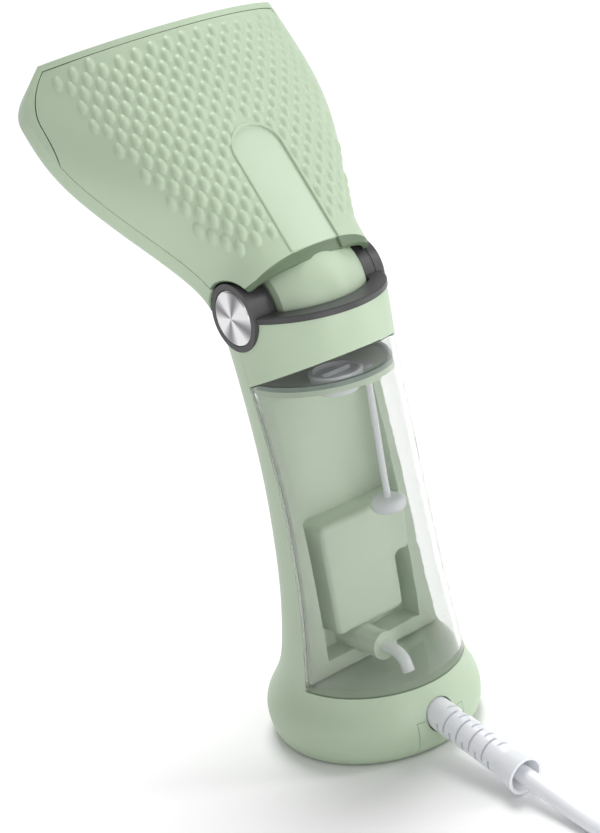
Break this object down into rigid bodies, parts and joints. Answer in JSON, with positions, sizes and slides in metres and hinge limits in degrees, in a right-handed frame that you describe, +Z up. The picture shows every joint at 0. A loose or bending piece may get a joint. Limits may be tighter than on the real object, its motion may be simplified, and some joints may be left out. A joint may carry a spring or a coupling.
{
  "type": "garment steamer",
  "caption": "Handheld garment steamer with a tilting steam head, a clear lift-off water tank in the back of its handle and a corded, round base that stands on a table.",
  "frame": {"origin": "centre of the base's bottom face, on the surface the steamer stands on", "axes": "+Z runs up the handle, +X along the head's hinge axis, +Y the way the head tilts; the water tank and the cord are on the -Y side"},
  "size_m": [0.1552, 0.3295, 0.2702],
  "materials": {
    "shell_green": "satin moulded",
    "tray_green": "satin moulded",
    "badge_green": "satin moulded",
    "tank_clear": "clear, polished",
    "collar_grey": "fine satin",
    "chrome": "radially brushed",
    "white_plastic": "gloss",
    "white_silicone": "satin",
    "lead_white": "satin PVC",
    "pad_grey": "matt",
    "seal_grey": "matt",
    "plate_metal": "brushed",
    "cast_metal": "as cast",
    "steel": "brushed",
    "blade_brass": "nickel over brass",
    "board_green": "solder resist",
    "dark_parts": "matt",
    "wire_grey": "satin",
    "white_inner": "matt",
    "light_lens": "diffusing"
  },
  "bodies": {
    "handle": {"main_housing": "shell_green", "base_plate": "shell_green", "base_pad": "pad_grey", "base_screws": "steel", "cord_exit_panel": "shell_green", "handle_bulkhead": "tray_green", "rear_band": "shell_green", "collar": "collar_grey", "hinge_cap_left": "chrome", "hinge_cap_right": "chrome", "hinge_pin_left": "steel", "hinge_pin_right": "steel", "friction_washer_left": "pad_grey", "friction_washer_right": "pad_grey", "pump": "white_inner", "pump_motor": "steel", "inlet_tube": "white_silicone", "outlet_tube": "white_silicone", "swivel_elbow": "white_inner", "circuit_board": "board_green", "board_components": "dark_parts", "power_switch": "dark_parts", "power_light": "light_lens", "trigger_switch": "dark_parts", "cord_clamp": "white_inner", "clamp_screws": "steel", "terminal_block": "white_inner", "cord_inner": "lead_white", "mains_leads": "wire_grey", "handle_wiring": "wire_grey", "strain_relief": "lead_white", "cord_lead": "lead_white", "cord_coil": "lead_white", "coil_tie": "dark_parts", "cord_tail": "lead_white", "plug_body": "lead_white", "plug_blades": "blade_brass"},
    "head": {"head_back_cover": "shell_green", "head_front_frame": "shell_green", "head_screws": "steel", "badge_inlay": "badge_green", "neck_drum": "shell_green", "soleplate": "plate_metal", "plate_gasket": "seal_grey", "steam_chamber": "cast_metal", "heating_element": "steel", "thermostat": "dark_parts", "thermal_fuse": "white_inner", "steam_feed_tube": "white_silicone", "head_wiring": "wire_grey"},
    "tank": {"tank_shell": "tank_clear", "tank_tray": "tray_green", "suction_hose": "white_silicone", "tank_lid": "tray_green", "tank_seal": "seal_grey", "vent_stem": "white_plastic"},
    "fill_plug": {"fill_plug": "white_plastic"},
    "steam_trigger": {"steam_trigger": "collar_grey"},
    "power_button": {"power_button": "collar_grey"}
  },
  "joints": [
    {"name": "head_tilt", "type": "hinge", "parent": "handle", "child": "head", "pos_m": [0, 0.002, 0.172], "axis": [-1, 0, 0], "range_deg": [-37, 18]},
    {"name": "tank_release", "type": "slide", "parent": "handle", "child": "tank", "axis": [0, -1, 0], "range_m": [0, 0.045]},
    {"name": "plug_pull", "type": "slide", "parent": "tank", "child": "fill_plug", "axis": [0, 0, 1], "range_m": [0, 0.01]},
    {"name": "trigger_press", "type": "slide", "parent": "handle", "child": "steam_trigger", "axis": [0, -1, 0], "range_m": [0, 0.0025], "stiffness_N_per_m": 1500, "springref_m": -0.001},
    {"name": "power_press", "type": "slide", "parent": "handle", "child": "power_button", "axis": [0, -1, 0], "range_m": [0, 0.001], "stiffness_N_per_m": 1500, "springref_m": -0.001}
  ]
}
